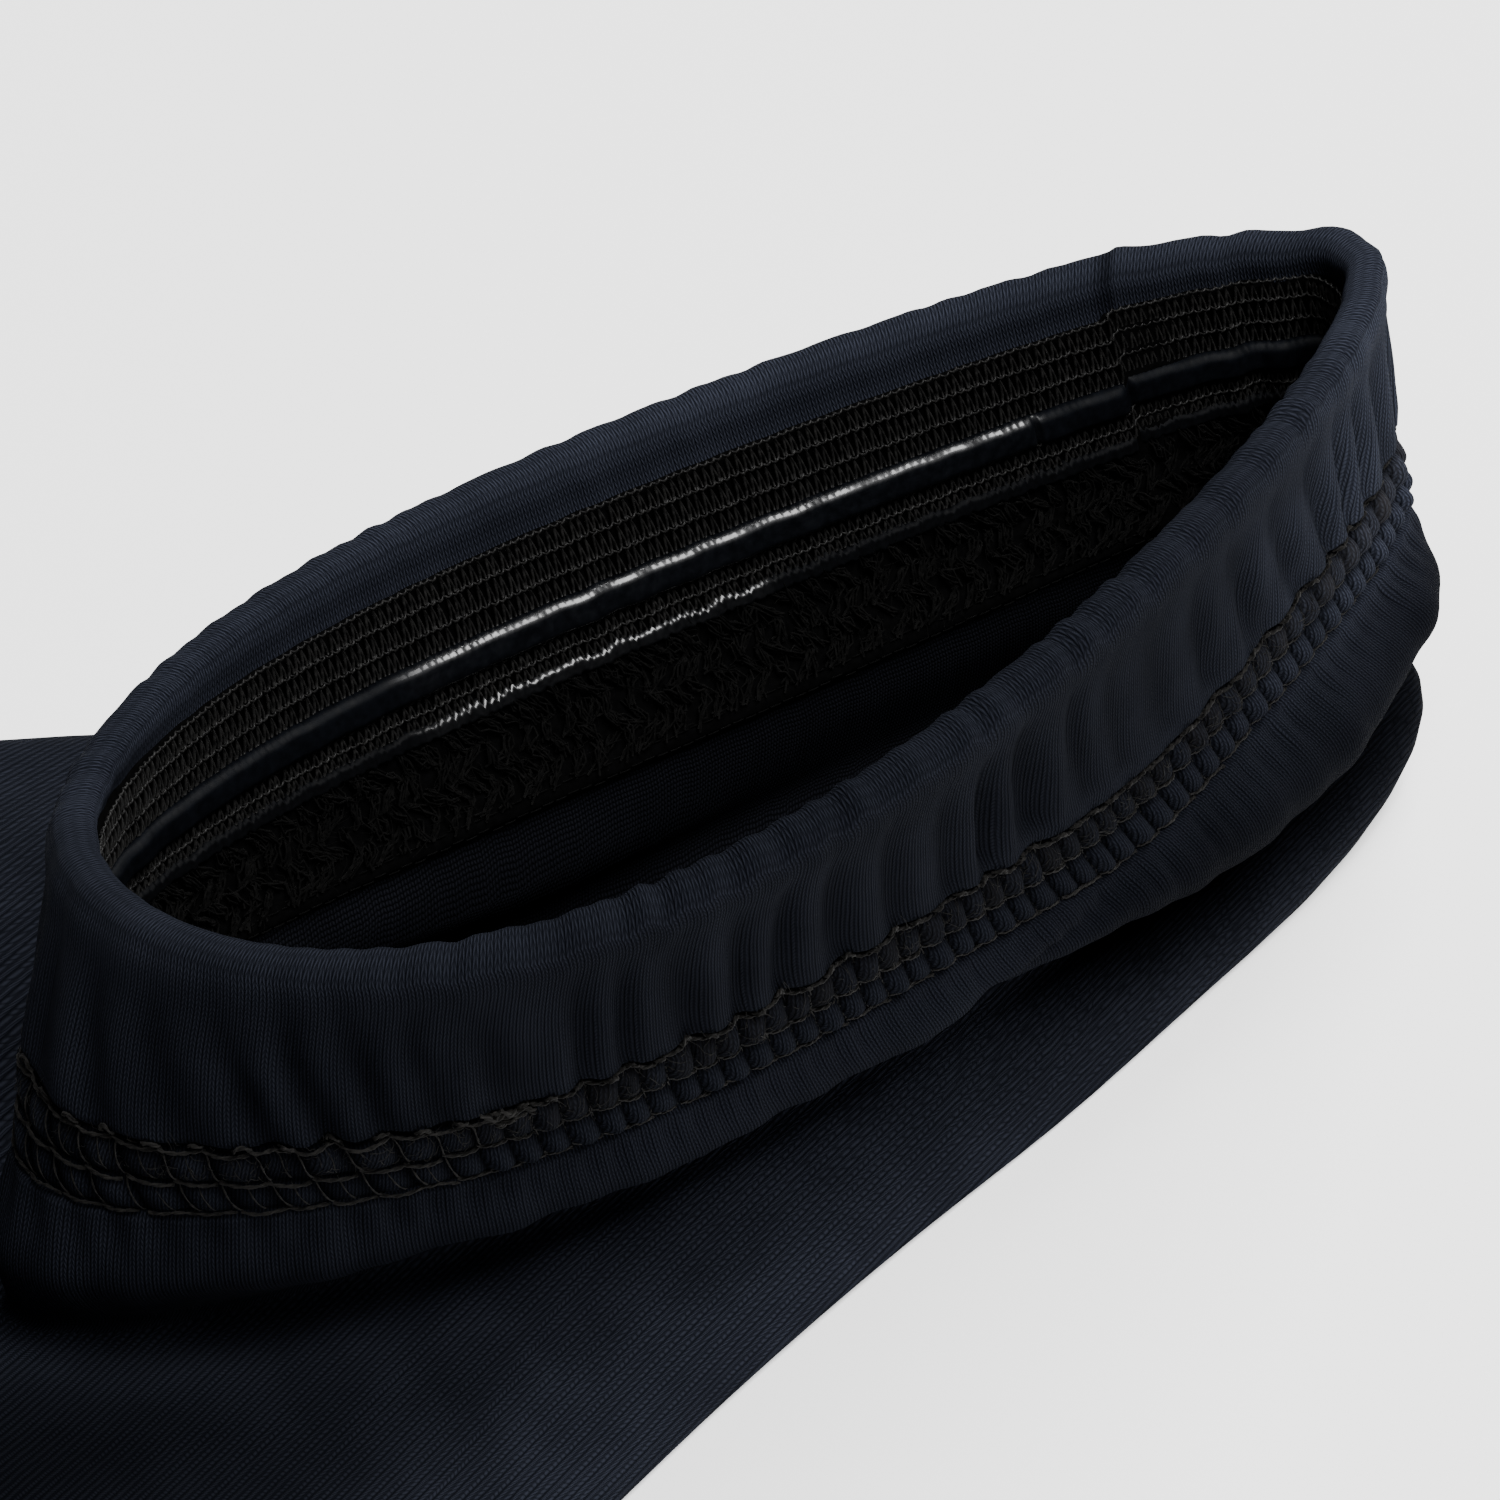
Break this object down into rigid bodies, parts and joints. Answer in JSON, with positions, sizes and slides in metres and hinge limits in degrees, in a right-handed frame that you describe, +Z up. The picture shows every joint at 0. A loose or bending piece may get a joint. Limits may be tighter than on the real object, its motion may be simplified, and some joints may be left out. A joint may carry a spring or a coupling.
{
  "type": "arm sleeve",
  "caption": "Knit arm sleeve lying flat, its upper-arm cuff standing open, with a turned-in hem and an elastic gripper tape with silicone strips inside.",
  "frame": {"origin": "on the floor under the middle of the sleeve's box", "axes": "+X along the sleeve from the wrist to the cuff, +Y to the far side, +Z up"},
  "size_m": [0.4004, 0.1128, 0.0465],
  "materials": {
    "knit_navy": "matte navy stretch knit with fine lengthwise wales",
    "tape_black": "matte black ladder-knit elastic",
    "silicone_upper": "glossy dark silicone",
    "silicone_lower": "glossy dark silicone"
  },
  "bodies": {
    "root": {"knit_sleeve": "knit_navy", "gripper_tape": "tape_black", "silicone_strip_upper": "silicone_upper", "silicone_strip_lower": "silicone_lower"}
  },
  "joints": []
}
